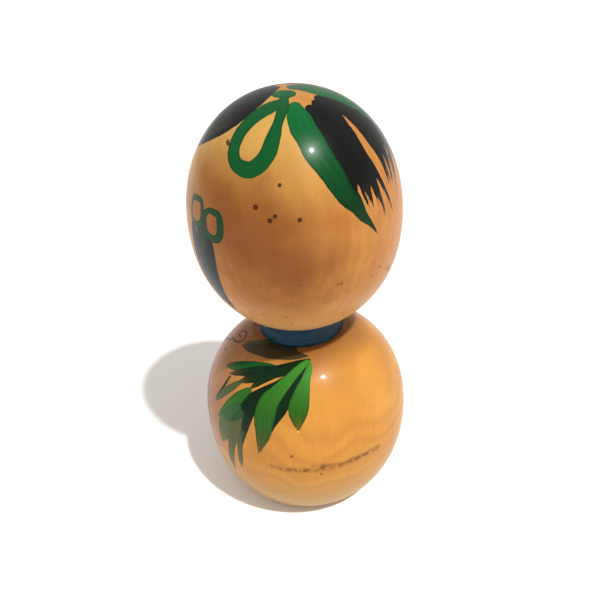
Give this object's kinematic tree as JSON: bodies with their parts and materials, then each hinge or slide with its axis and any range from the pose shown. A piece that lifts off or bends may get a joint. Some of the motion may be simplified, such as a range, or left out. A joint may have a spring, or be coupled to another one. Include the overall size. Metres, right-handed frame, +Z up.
{
  "type": "kokeshi doll",
  "caption": "Turned wooden doll: a ball-shaped head that turns on a hidden peg, a blue neck collar and a round body with a flat base.",
  "frame": {"origin": "centre of the flat base, on the surface that the doll stands on", "axes": "+Z up along the turning axis; -Y is the way the face looks; +X is the doll's left"},
  "size_m": [0.0602, 0.0602, 0.12],
  "materials": {
    "head_wood": "painted and varnished, glossy",
    "body_wood": "painted and varnished, glossy",
    "collar_paint": "blue paint under varnish, glossy",
    "peg_wood": "bare, sanded"
  },
  "bodies": {
    "base": {"body": "body_wood", "neck_collar": "collar_paint", "neck_peg": "peg_wood"},
    "head": {"head": "head_wood"}
  },
  "joints": [
    {"name": "head_turn", "type": "hinge", "parent": "base", "child": "head", "pos_m": [0, 0, 0.0594], "axis": [0, 0, 1], "continuous": true}
  ]
}
